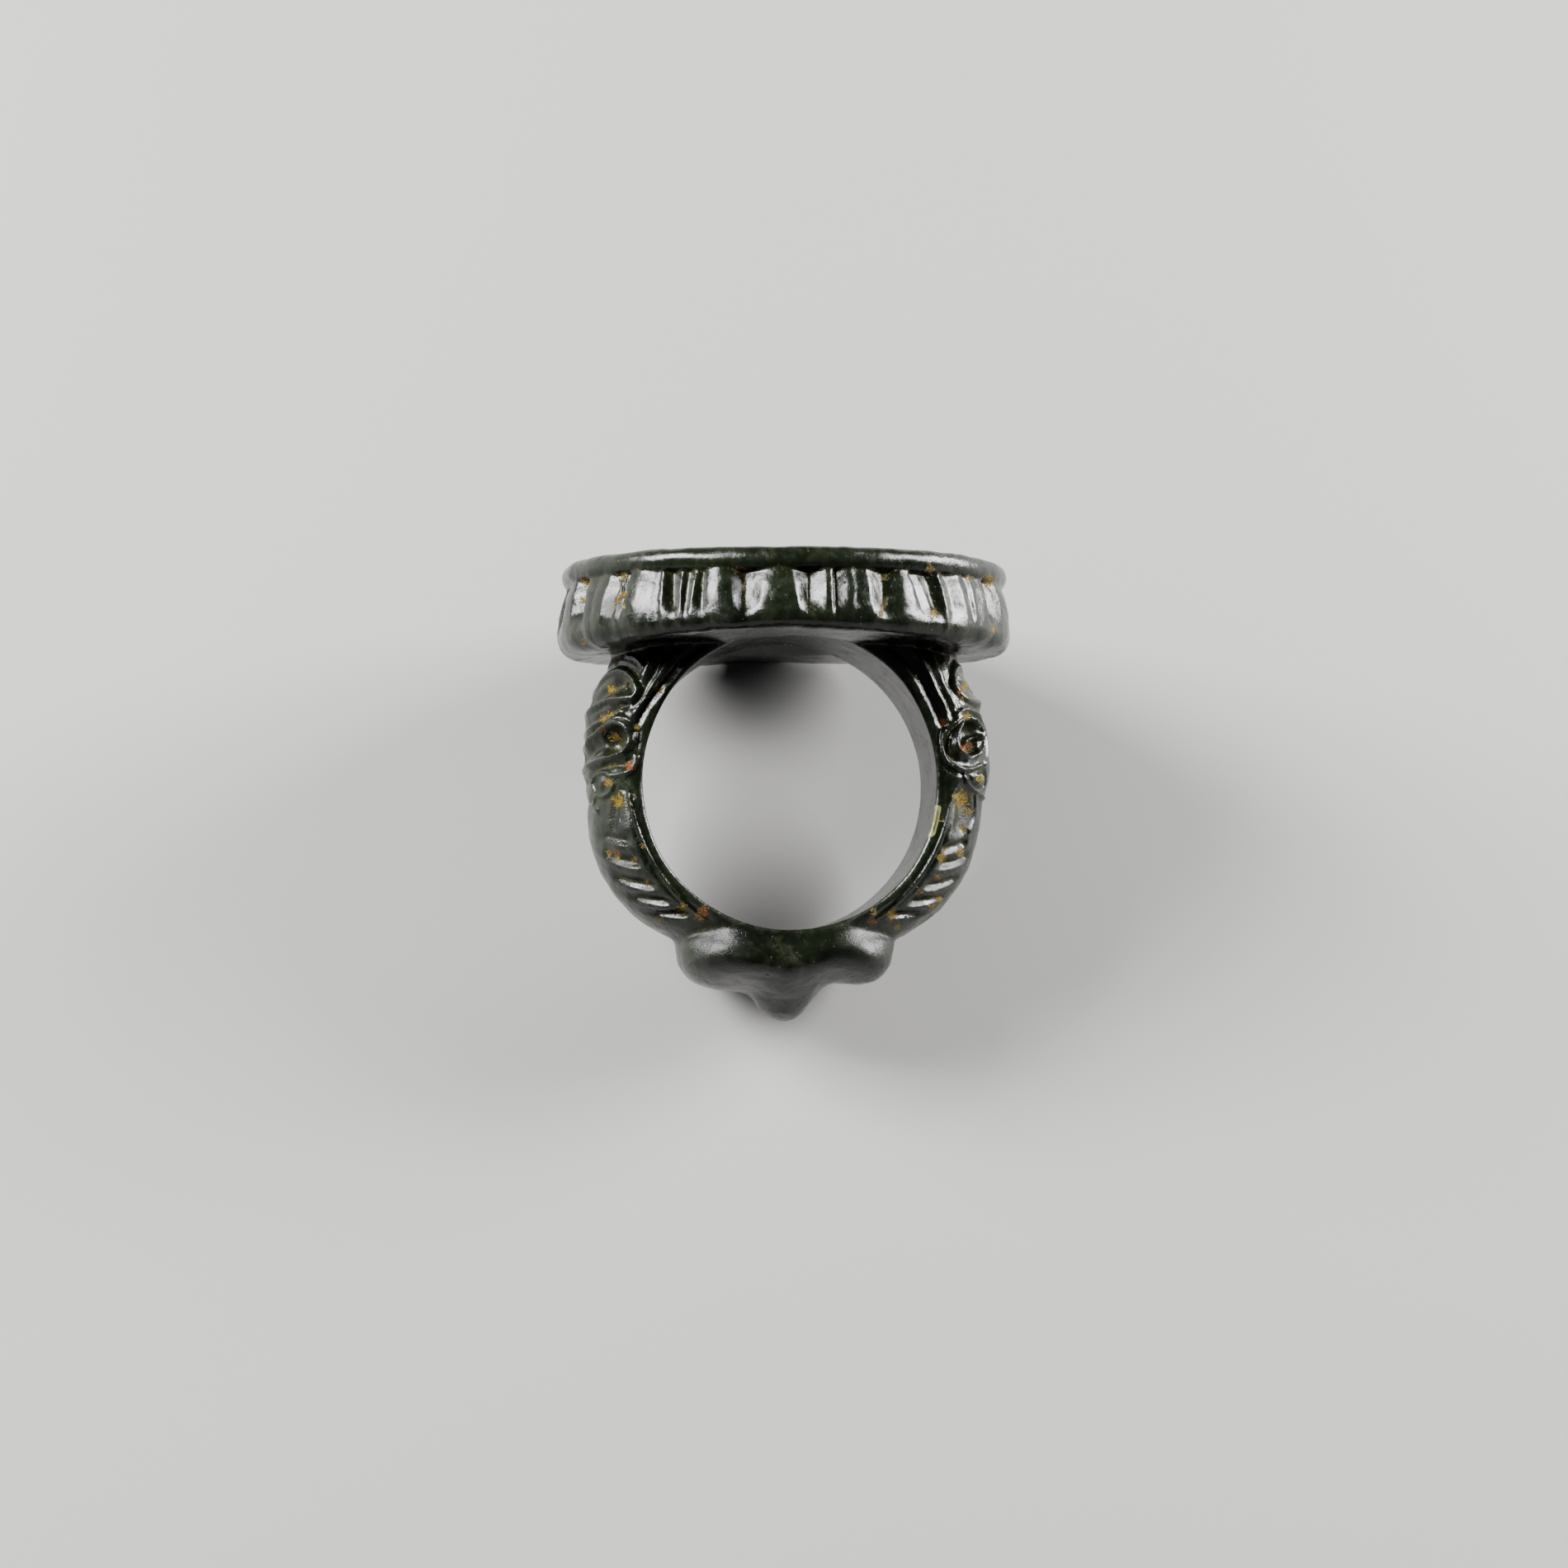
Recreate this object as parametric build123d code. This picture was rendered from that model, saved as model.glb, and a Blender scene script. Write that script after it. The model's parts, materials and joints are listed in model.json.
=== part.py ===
from build123d import *
import math
import os
from collections import namedtuple

# A finger ring carved from one piece of stone: a round bezel with a beaded lip and gadrooned
# sides, a crowned band carved with ribs, scrolls, strands and notched leaves, and a cushion
# with a drop opposite the bezel.
# It is modelled upright about the bore's centre, with X across, Y along the finger (front at
# -Y) and Z towards the bezel, and is laid down on its side at the end.

# Driving dimensions, in millimetres and degrees
finger_bore = 18.0  # diameter of the finger hole
band_width = 10.4  # along the finger
band_height = 3.35  # from the bore's wall out to the crest
band_offset = 0.2  # the crest's circle sits this far above the bore's centre
rim_height = 0.9  # flat rim beside the bore

bezel_diameter = 27.8  # over the gadroons
bezel_thickness = 5.4  # from the underside at its sides to the table
bezel_sink = 1.5  # the bore's top reaches this far above that underside
bezel_foot = 1.3  # rounding from the wall to the underside
belly_rise = 2.1  # the widest point above the underside
saddle_rise = 0.95  # the underside arches up this much over the finger
mouth_depth = 2.2  # the bore narrows to the underside over this length

lip_bead = 1.6  # thickness of the bead round the table
lip_stand = 0.35  # the bead stands this far above the table
lip_inset = 0.3  # the bead's outside from the gadroons' widest
neck_inset = 0.48  # the wall draws in this much from the belly to the lip
groove_depth = 0.6  # between two gadroons

cushion_width = 13.5  # across the foot of the ring
cushion_proud = 0.5  # beyond each face of the band
cushion_height = 4.6
cushion_wall = 3.7  # stone under the bore
cushion_edge = 0.42  # rounding of its edges, as a share of its height
drop_length = 1.8  # below the cushion
drop_diameter = 3.2  # of its rounded tip
drop_steepness = 60.0  # of its side, before it flares into the cushion

rib_relief = 0.36  # a rib stands this far above the crown
rib_slant = 28.0  # its lean, up the band from the crest towards the rim
rib_spread = 30.0  # how far it runs round the crown from the crest
scroll_relief = 0.3  # how far a scroll's bead stands above the crown
strand_width = 0.5  # lines between the strands
strand_depth = 0.2
leaf_width = 0.44  # line beside a leaf
leaf_depth = 0.16
notch_length = 2.5
notch_width = 1.1
notch_depth = 0.42

# Grooves between the gadroons, in degrees round the bezel from the front, positive to +X
groove_azimuths = (
    -85, -67, -51, -32.5, -17.5, 1.5, 18.5, 34, 51.5, 62, 79,
    94.5, 111.5, 128.6, 145.7, 162.9, 180, 197.1, 214.3, 231.4, 248.6, 262,
)

# Places on the band: angle in degrees up from the bore's centre line, and share of the half
# width from the crest (0) to the rim (1). Each is carved on the front and on the back.
Rib = namedtuple("Rib", "angle thickness")
ribs = (
    Rib(-1.8, 1.75),
    Rib(5.6, 1.5),
    Rib(11.4, 1.25),
    Rib(16.8, 1.35),
    Rib(24.0, 1.9),
    Rib(31.0, 1.6),
)
Scroll = namedtuple("Scroll", "side angle share outside bead pit")
scrolls = (
    Scroll("right", 11.2, 0.82, 3.00, 0.55, 0.0),
    Scroll("right", 13.2, 0.76, 2.15, 0.50, 1.2),
    Scroll("right", 29.0, 0.56, 2.00, 0.50, 0.8),
    Scroll("right", 1.0, 0.60, 1.50, 0.40, 0.0),
    Scroll("left", 12.0, 0.83, 2.55, 0.60, 1.5),
    Scroll("left", 6.8, 0.84, 2.20, 0.45, 0.0),
    Scroll("left", 29.2, 0.60, 2.60, 0.60, 1.3),
    Scroll("left", -0.9, 0.65, 1.60, 0.42, 0.0),
)
Bud = namedtuple("Bud", "side angle share diameter")
buds = (
    Bud("right", 1.2, 0.60, 0.85),
    Bud("left", -0.7, 0.66, 0.85),
)
Line = namedtuple("Line", "share start end")
strand_lines = (
    Line(0.97, 18.0, 60.0),
    Line(0.87, 21.0, 60.0),
    Line(0.72, 33.0, 60.0),
)
leaf_lines = (
    Line(0.97, -56.0, -4.0),
    Line(0.56, -50.0, -12.0),
)
Notch = namedtuple("Notch", "angle share slant size")
notches = (
    Notch(-10.5, 0.76, 15.0, 1.25),
    Notch(-20.5, 0.84, 38.0, 0.80),
    Notch(-27.0, 0.76, 38.0, 1.00),
    Notch(-34.7, 0.77, 38.0, 1.00),
    Notch(-42.3, 0.77, 38.0, 1.00),
    Notch(-50.0, 0.82, 38.0, 0.85),
)

# Sections of the cushion, from its middle to its end, as shares of its sizes
Station = namedtuple("Station", "across depth height lift")
stations = (
    Station(0.00, 1.00, 1.00, 0.00),
    Station(0.42, 1.00, 0.97, 0.00),
    Station(0.74, 0.94, 0.77, -0.01),
    Station(0.92, 0.78, 0.50, 0.00),
    Station(1.00, 0.46, 0.20, 0.05),
)

bore_radius = finger_bore / 2
crown_rise = band_height - rim_height
crown_radius = ((band_width / 2) ** 2 + crown_rise**2) / (2 * crown_rise)
crown_center = bore_radius + band_height - crown_radius
bezel_under = bore_radius - bezel_sink
bezel_top = bezel_under + bezel_thickness
belly_height = bezel_under + belly_rise
cushion_reach = bore_radius + cushion_wall
cushion_depth = band_width + 2 * cushion_proud
drop_reach = cushion_reach + drop_length
past_all = 2 * bezel_diameter  # longer than anything it cuts


def crown_plane(angle, share, lift=0.0):
    """Where a place on the band lies: x runs up along the band and z out of the stone."""
    a = math.radians(angle)
    slope = math.asin(share * band_width / 2 / crown_radius)
    out = Vector(math.cos(a), 0, math.sin(a))
    normal = out * math.cos(slope) - Vector(0, 1, 0) * math.sin(slope)
    middle = out * crown_center + Vector(0, 0, band_offset)
    origin = middle + normal * (crown_radius + lift)
    return Plane(origin, x_dir=(-math.sin(a), 0, math.cos(a)), z_dir=normal)


def both_faces(shapes):
    return [*shapes, *(mirror(s, about=Plane.XZ) for s in shapes)]


def both_sides(shapes):
    return [*shapes, *(mirror(s, about=Plane.YZ) for s in shapes)]


def on_side(side, shape):
    return mirror(shape, about=Plane.YZ) if side == "left" else shape


def bezel():
    wall = bezel_diameter / 2
    bead = lip_bead / 2
    lip_axis = wall - lip_inset - bead
    lip_height = bezel_top + lip_stand - bead
    foot_height = bezel_under + bezel_foot
    neck = Vector(wall - neck_inset, lip_height - bead / 2)
    rise = neck.Y - belly_height
    lean = 2 * math.atan(neck_inset / rise)
    with BuildSketch(Plane.XZ) as body:
        with BuildLine():
            Polyline((0, bezel_top), (0, bezel_under), (wall - bezel_foot, bezel_under))
            JernArc((wall - bezel_foot, bezel_under), (1, 0), bezel_foot, 90)
            upright = Polyline((wall, foot_height), (wall, belly_height))
            JernArc(upright @ 1, (0, 1), rise / math.sin(lean), math.degrees(lean))
            Polyline(neck, (lip_axis, neck.Y), (lip_axis, bezel_top), (0, bezel_top))
        make_face()
    round_body = revolve(body.sketch, Axis.Z)
    gadroons = extrude(gadroon_plan(), past_all / 2)
    lip = Pos(0, 0, lip_height) * Torus(lip_axis, bead)
    return (round_body & gadroons) + lip - saddle()


def gadroon_plan():
    wall = bezel_diameter / 2
    ends = [*groove_azimuths, groove_azimuths[0] + 360]

    def around(azimuth, radius):
        a = math.radians(azimuth)
        return (radius * math.sin(a), -radius * math.cos(a))

    with BuildSketch() as plan:
        with BuildLine():
            for start, end in zip(ends, ends[1:]):
                ThreePointArc(
                    around(start, wall - groove_depth),
                    around((start + end) / 2, wall),
                    around(end, wall - groove_depth),
                )
        make_face()
    return plan.sketch


def saddle():
    """The arched cut that raises the underside over the finger."""
    reach = bezel_diameter / 2 - bezel_foot
    radius = (reach**2 + saddle_rise**2) / (2 * saddle_rise)
    height = bezel_under + saddle_rise - radius
    return Pos(0, 0, height) * Rot(90, 0, 0) * Cylinder(radius, past_all)


def band():
    half = band_width / 2
    rim = bore_radius + rim_height
    inside = bore_radius / 2
    with BuildSketch(Plane.XY) as section:
        with BuildLine():
            ThreePointArc((rim, -half), (bore_radius + band_height, 0), (rim, half))
            Polyline((rim, half), (inside, half), (inside, -half), (rim, -half))
        make_face()
    return Pos(0, 0, band_offset) * revolve(section.sketch, Axis.Y)


def rib_bars():
    bars = []
    for rib in ribs:
        radius = rib.thickness / 2
        major = crown_radius + rib_relief - radius
        base = crown_plane(rib.angle, 0)
        center = base.origin - base.z_dir * crown_radius
        lean = math.radians(rib_slant)
        side = Vector(0, -1, 0) * math.cos(lean) + base.x_dir * math.sin(lean)
        path = Plane(center, x_dir=base.z_dir, z_dir=base.z_dir.cross(side))
        bars.append(path * Torus(major, radius, major_angle=rib_spread, align=None))
        end = math.radians(rib_spread)
        tip = center + (base.z_dir * math.cos(end) + side * math.sin(end)) * major
        bars.append(Pos(*tip) * Sphere(radius))
    return both_sides(both_faces(bars))


def scroll_beads():
    beads = []
    for scroll in scrolls:
        wire = scroll.bead / 2
        place = crown_plane(scroll.angle, scroll.share, scroll_relief - wire)
        beads.append(on_side(scroll.side, place * Torus(scroll.outside / 2 - wire, wire)))
    for bud in buds:
        place = crown_plane(bud.angle, bud.share)
        beads.append(on_side(bud.side, place * Sphere(bud.diameter / 2)))
    return both_faces(beads)


def scroll_pits():
    pits = []
    for scroll in scrolls:
        if scroll.pit:
            place = crown_plane(scroll.angle, scroll.share)
            pits.append(on_side(scroll.side, place * Sphere(scroll.pit / 2)))
    return both_faces(pits)


def line_cuts(lines, width, depth):
    """Lines that run along the band, cut by a round tool."""
    cuts = []
    for line in lines:
        start = crown_plane(line.start, line.share, width / 2 - depth)
        ring_radius = math.hypot(start.origin.X, start.origin.Z - band_offset)
        level = Plane((0, start.origin.Y, band_offset), x_dir=(1, 0, 0), z_dir=(0, -1, 0))
        turned = level * Rot(0, 0, line.start)
        run = line.end - line.start
        cuts.append(turned * Torus(ring_radius, width / 2, major_angle=run, align=None))
    return both_sides(both_faces(cuts))


def gouge(length, width):
    """A pointed tool mark: an arc turned about its chord, which lies along X."""
    half = length / 2
    with BuildSketch() as blade:
        with BuildLine():
            ThreePointArc((-half, 0), (0, width / 2), (half, 0))
            Polyline((half, 0), (-half, 0))
        make_face()
    return revolve(blade.sketch, Axis.X)


def notch_cuts():
    cuts = []
    for notch in notches:
        width = notch_width * notch.size
        lift = width / 2 - notch_depth * notch.size
        place = crown_plane(notch.angle, notch.share, lift)
        blade = gouge(notch_length * notch.size, width)
        cuts.append(place * Rot(0, 0, 90 - notch.slant) * blade)
    return both_sides(both_faces(cuts))


def cushion():
    """A swelling form through rounded sections across the foot of the ring."""
    sections = []
    for station in [*reversed(stations[1:]), *stations]:
        half = station.across * cushion_width / 2
        across = -half if len(sections) < len(stations) - 1 else half
        height = station.height * cushion_height
        middle = cushion_height / 2 - cushion_reach + station.lift * cushion_height
        with BuildSketch(Plane.YZ.offset(across) * Pos(0, middle)) as section:
            RectangleRounded(station.depth * cushion_depth, height, cushion_edge * height)
        sections.append(section.sketch)
    return loft(sections)


def drop():
    """A turned tip that flares into the cushion's underside."""
    radius = drop_diameter / 2
    ball = radius - drop_reach
    steep = math.radians(drop_steepness)
    side = Vector(radius * math.sin(steep), ball - radius * math.cos(steep))
    flare = (-cushion_reach - side.Y) / (1 - math.cos(steep))
    with BuildSketch(Plane.XZ) as profile:
        with BuildLine():
            half_way = Vector(radius * math.sin(steep / 2), ball - radius * math.cos(steep / 2))
            ThreePointArc((0, -drop_reach), half_way, side)
            foot = JernArc(side, (math.cos(steep), math.sin(steep)), flare, -drop_steepness)
            root = cushion_height / 2 - cushion_reach
            Polyline(foot @ 1, ((foot @ 1).X, root), (0, root), (0, -drop_reach))
        make_face()
    return revolve(profile.sketch, Axis.Z)


def finger_hole():
    length = band_width
    hole = Rot(90, 0, 0) * Cylinder(bore_radius, length)
    reach = bezel_under + saddle_rise
    mouth = Plane.XZ.offset(length / 2) * Pos(0, 0, mouth_depth / 2) * Cone(
        bore_radius, reach, mouth_depth
    )
    return [hole, *both_faces([mouth])]


def carved_ring():
    """The whole stone, still upright."""
    stone = bezel() + band() + cushion() + drop()
    stone = stone + rib_bars() + scroll_beads()
    lines = line_cuts(strand_lines, strand_width, strand_depth)
    lines += line_cuts(leaf_lines, leaf_width, leaf_depth)
    return stone - scroll_pits() - lines - notch_cuts() - finger_hole()


def rest_tilt():
    """Turn about X that lays the ring down on its bezel and its cushion alike."""
    top, foot = bezel(), cushion()
    span = belly_height + cushion_reach
    tilt = -90.0
    for _ in range(6):
        turn = Rot(tilt, 0, 0)
        gap = (turn * foot).bounding_box().min.Z - (turn * top).bounding_box().min.Z
        tilt += math.degrees(gap / span)
    return tilt


lay_down = Rot(rest_tilt(), 0, 0)
ring = lay_down * carved_ring()
box = ring.bounding_box()
to_floor = Pos(-box.center().X, -box.center().Y, -box.min.Z)
ring = to_floor * ring
ring.label = "carved_ring"
print("box", box.size, "volume", ring.volume, "valid", ring.is_valid)
print("bore centre", (to_floor * lay_down).position, "turned", (to_floor * lay_down).orientation)

os.makedirs("parts", exist_ok=True)
export_step(ring, "parts/carved_ring.step")
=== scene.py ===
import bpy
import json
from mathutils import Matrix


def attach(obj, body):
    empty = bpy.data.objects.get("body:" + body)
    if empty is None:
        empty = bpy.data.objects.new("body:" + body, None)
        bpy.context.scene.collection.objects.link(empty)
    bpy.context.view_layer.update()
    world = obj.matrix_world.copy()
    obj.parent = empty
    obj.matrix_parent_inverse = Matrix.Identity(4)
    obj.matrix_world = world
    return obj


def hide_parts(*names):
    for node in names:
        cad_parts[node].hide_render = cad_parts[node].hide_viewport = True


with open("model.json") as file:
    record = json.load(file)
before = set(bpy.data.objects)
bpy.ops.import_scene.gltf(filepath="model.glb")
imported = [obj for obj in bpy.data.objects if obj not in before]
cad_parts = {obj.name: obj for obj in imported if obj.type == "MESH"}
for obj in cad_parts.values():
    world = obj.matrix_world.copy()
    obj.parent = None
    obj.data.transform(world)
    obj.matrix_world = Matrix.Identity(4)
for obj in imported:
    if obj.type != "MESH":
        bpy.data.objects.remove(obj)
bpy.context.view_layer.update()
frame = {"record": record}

import json
import math
import bpy
import numpy as np
import openvdb
from mathutils import Matrix, Vector

# The ring is carved upright in millimetres about its bore: x across, y along the finger with
# the front at -y, z towards the bezel. The bore mount says how it lies in the frame.
bore = next(m for m in frame["record"]["mounts"] if m["name"] == "finger_bore")
ringY = -Vector(bore["axis"]).normalized()
ringX = Vector((1, 0, 0))
ringZ = ringX.cross(ringY)
toFrame = Matrix.Translation(Vector(bore["pos_m"])) @ Matrix((ringX, ringY, ringZ)).transposed().to_4x4()
mm = 0.001

block = {
    "step": 0.1,  # mm between the points where the stone is worked out
    "low": (-14.3, -14.3, -15.0), "high": (14.3, 14.3, 13.7),
    "skin": 0.6,  # mm each side of the surface that is kept when the skin is drawn
    "triangles": 190000,
}


def axisOf(i, low=None, high=None):  # places along one side of the block, and the part between two
    values = np.arange(block["low"][i], block["high"][i], block["step"], dtype=np.float32)
    first = 0 if low is None else int(np.searchsorted(values, low))
    last = len(values) if high is None else int(np.searchsorted(values, high))
    return values, slice(first, last)


def join(a, b, k):  # rounded union
    h = np.clip(0.5 + 0.5 * (b - a) / k, 0, 1)
    return b + (a - b) * h - k * h * (1 - h)


def meet(a, b, k):  # rounded intersection
    return -join(-a, -b, k)


def smoothStep(x, a, b):  # 0 at a, 1 at b, also where b is the lower
    t = np.clip((x - a) / (b - a), 0, 1)
    return t * t * (3 - 2 * t)


def readOff(table, at):  # straight from one row of the table to the next
    return np.interp(at, *zip(*table))


def waves(x, y, z, length, seed, count=14):  # smooth wobble, about -1 to 1
    r = np.random.default_rng(seed)
    total = np.zeros(np.broadcast_shapes(np.shape(x), np.shape(y), np.shape(z)), np.float32)
    for _ in range(count):
        d = r.normal(size=3)
        d *= 2 * math.pi / (length * r.uniform(0.7, 1.6)) / np.linalg.norm(d)
        total += np.sin(d[0] * x + d[1] * y + d[2] * z + r.uniform(0, 6.28)).astype(np.float32)
    return total / math.sqrt(count / 2) * 0.7


def throughPlaces(places, perSpan=8):  # smooth curve through the places
    p = np.array(places, float)
    if len(p) < 3:
        return np.linspace(p[0], p[-1], perSpan)
    padded = np.vstack([2 * p[0] - p[1], p, 2 * p[-1] - p[-2]])
    out = []
    for i in range(len(p) - 1):
        a, b, c, d = padded[i:i + 4]
        for t in np.arange(perSpan) / perSpan:
            out.append(0.5 * (2 * b + (c - a) * t + (2 * a - 5 * b + 4 * c - d) * t * t
                              + (3 * b - a - 3 * c + d) * t ** 3))
    out.append(p[-1])
    return np.array(out)


# the block is above zero in the air and below zero in the stone: it starts empty, and each form is
# joined to what is there
xs, _ = axisOf(0)
ys, _ = axisOf(1)
zs, _ = axisOf(2)
field = np.full((len(xs), len(ys), len(zs)), 1.0, np.float32)
print("block", field.shape)

band = {
    "bore": 9.0, "width": 10.4,
    "crown": 6.74,  # roundness of its outside
    "centre": 5.61,  # of that roundness, above the bore's centre, where the carving is charted
    "edge": 0.16,  # rounding from the crown to the flat sides
    "empty": 8.5,  # within this of the bore's centre; the hole itself is cut last
    "carvedWithin": 1.1,  # mm of the surface
    "crestWear": 0.3, "wearReach": 2.0,  # share of the carving left on the crest, whole again from 2 mm
    "plainBy": (9.02, 9.35),  # the carving dies out between these, by the hole
    # crest above the bore's centre, by degrees up from the horizontal
    "left": ((-92, 11.9), (-60, 11.7), (-53, 11.75), (-46, 12.05), (-40, 12.25), (-32, 12.42), (-25, 12.46),
             (-17, 12.36), (-10, 12.18), (-5.8, 12.02), (-3, 12.1), (0, 12.14), (2.8, 12.28), (5, 12.25),
             (7.5, 12.34), (9.8, 12.37), (12, 12.48), (14.2, 12.52), (15.8, 12.66), (18, 12.76), (24, 12.81),
             (29.6, 12.81), (32, 12.78), (34, 12.93), (38, 13.1), (42, 13.25), (92, 13.2)),
    "right": ((-92, 11.9), (-60, 11.7), (-53, 11.75), (-46, 12.0), (-40, 12.2), (-32, 12.36), (-25, 12.4),
              (-17, 12.32), (-8, 12.2), (-5, 12.22), (0, 12.5), (2.5, 12.6), (4.8, 12.66), (9.4, 12.68),
              (14, 12.75), (18.3, 12.78), (20.5, 12.88), (25, 12.93), (27.6, 12.9), (30.4, 12.83),
              (32.5, 12.83), (35, 12.98), (38, 13.1), (42, 13.2), (92, 13.1)),
}

# The relief of the band is drawn flat: rows by angle, columns by way round the crown in mm
chart = {
    "angle": 0.2, "lowAngle": -92.0, "highAngle": 92.0, "way": 0.04, "ways": 180,
    "radius": 11.3,  # where a degree is measured
    "rimShare": 5.2,  # mm on the rim for a share of one
}
turn = math.radians(1) * chart["radius"]  # mm along the band for a degree
rimWay = band["crown"] * math.asin(band["width"] / 2 / band["crown"])

# Carving on the band. A place is (degrees up from the horizontal, share of the half width
# from the crest at 0 to the rim at 1, a little more on the rim itself).
# A stroke is width and height in mm (height below 0 cuts), then the places that it runs through.
bothSides = (
    # lines that bound the leaf, then its slanting notches from the rim towards the crest
    ("vee", 0.22, -0.15, (-3.0, 0.93), (-6.0, 0.985), (-20, 0.995), (-40, 0.99), (-57, 0.955)),
    ("vee", 0.16, -0.09, (-4.0, 1.06), (-20, 1.075), (-42, 1.07), (-60, 1.05)),
    ("round", 0.17, 0.06, (-6.0, 1.025), (-20, 1.035), (-42, 1.03), (-58, 1.0)),
    ("notch", 0.80, -0.46, (-30.2, 0.93), (-27.6, 0.80), (-24.4, 0.62), (-21.4, 0.42)),
    ("notch", 0.80, -0.48, (-39.0, 0.92), (-36.0, 0.79), (-32.2, 0.62), (-28.6, 0.43)),
    ("notch", 0.78, -0.48, (-46.4, 0.90), (-43.4, 0.79), (-39.4, 0.63), (-36.0, 0.46)),
    ("notch", 0.74, -0.48, (-53.6, 0.90), (-50.8, 0.80), (-47.0, 0.66), (-43.6, 0.50)),
)
leftSide = (
    # strands
    ("vee", 0.32, -0.26, (56, 1.03), (46.8, 1.05), (40.4, 1.07), (36.4, 1.06), (31, 1.05), (26.4, 1.03),
     (20.6, 1.02), (18, 1.0)),
    ("vee", 0.30, -0.25, (52, 0.90), (41.8, 0.92), (37.3, 0.94), (32.4, 0.945), (28, 0.95), (23.3, 0.93)),
    ("vee", 0.16, -0.10, (33, 0.90), (28, 0.90), (23, 0.88)),
    ("round", 0.30, 0.12, (40, 0.87), (33, 0.88), (26, 0.88)),
    ("round", 0.40, 0.12, (47, 0.98), (36, 1.0), (25, 0.99)),
    # upper scroll: a ridge that curls round a hollow, and its tail over the crest
    ("round", 0.36, 0.30, (24.6, 0.0), (27.0, 0.16), (30.0, 0.32), (32.4, 0.50), (33.1, 0.68), (31.8, 0.84),
     (29.2, 0.92), (26.4, 0.88), (24.2, 0.66), (21.6, 0.46), (19.4, 0.22), (18.6, 0.0)),
    ("round", 0.62, -0.40, (29.6, 0.66), (27.9, 0.56), (26.0, 0.44), (23.6, 0.30), (22.0, 0.1)),
    ("vee", 0.16, -0.14, (32.2, 0.66), (30.8, 0.78), (28.6, 0.84)),
    ("vee", 0.16, -0.12, (31.0, 0.58), (29.6, 0.68), (27.8, 0.72)),
    ("vee", 0.22, -0.16, (31.0, 0.16), (33.6, 0.36), (35.0, 0.62), (33.8, 0.86), (29.5, 0.96),
     (26.0, 0.94)),
    ("round", 0.22, 0.16, (37.6, 0.55), (38.2, 0.72), (37.0, 0.84)),
    # bands that cross the crest
    ("vee", 0.34, -0.28, (25.0, 0.90), (22.7, 0.80), (20.1, 0.68), (17.9, 0.52), (16.2, 0.32), (15.0, 0.0)),
    ("round", 0.42, 0.22, (21.8, 0.86), (19.2, 0.74), (16.8, 0.56), (14.8, 0.34), (13.6, 0.0)),
    ("vee", 0.28, -0.26, (18.6, 0.72), (15.6, 0.56), (12.8, 0.33), (11.3, 0.12), (11.1, 0.0)),
    # lower scroll with its deep eye
    ("round", 0.36, 0.28, (8.9, 0.0), (10.0, 0.24), (12.9, 0.46), (15.8, 0.68), (17.9, 0.84), (17.4, 0.95),
     (13.6, 1.0), (10.4, 0.98), (7.8, 0.88), (6.2, 0.68), (4.9, 0.44), (4.0, 0.2), (3.6, 0.0)),
    ("pit", 0.90, -0.95, (12.9, 0.87), (12.4, 0.82), (11.9, 0.76)),
    ("round", 0.60, -0.40, (12.0, 0.76), (10.4, 0.56), (8.0, 0.30), (6.6, 0.08)),
    ("vee", 0.20, -0.13, (20.2, 0.86), (18.8, 1.03), (14.0, 1.09), (9.0, 1.085)),
    # crescent under it
    ("vee", 0.26, -0.24, (3.4, 0.70), (4.6, 0.86), (5.0, 0.97), (7.0, 1.045)),
    ("round", 0.24, 0.20, (1.4, 0.78), (1.4, 0.90), (2.4, 1.02), (5.2, 1.085), (8.2, 1.10)),
    ("vee", 0.28, -0.24, (5.4, 0.80), (4.0, 0.70), (2.2, 0.50), (0.2, 0.25), (-0.6, 0.0)),
    # bead in its ring
    ("round", 0.20, 0.18, (2.6, 0.66), (1.9, 0.52), (-0.8, 0.45), (-3.8, 0.52), (-5.0, 0.66), (-3.6, 0.80),
     (-0.6, 0.84), (1.8, 0.79), (2.6, 0.66)),
    ("round", 0.42, 0.16, (-0.2, 0.68), (-1.3, 0.64)),
    ("round", 0.30, 0.16, (-5.2, 0.45), (-7.4, 0.42), (-8.6, 0.52)),
    ("vee", 0.24, -0.20, (-4.6, 0.40), (-5.6, 0.2), (-5.9, 0.0)),
    # sunk tip of the leaf, and its first notch
    ("round", 0.62, -0.20, (-8.0, 0.86), (-12.5, 0.80), (-16.0, 0.76)),
    ("notch", 0.80, -0.40, (-21.6, 0.94), (-20.6, 0.86), (-18.6, 0.72), (-16.4, 0.52)),
)
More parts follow.
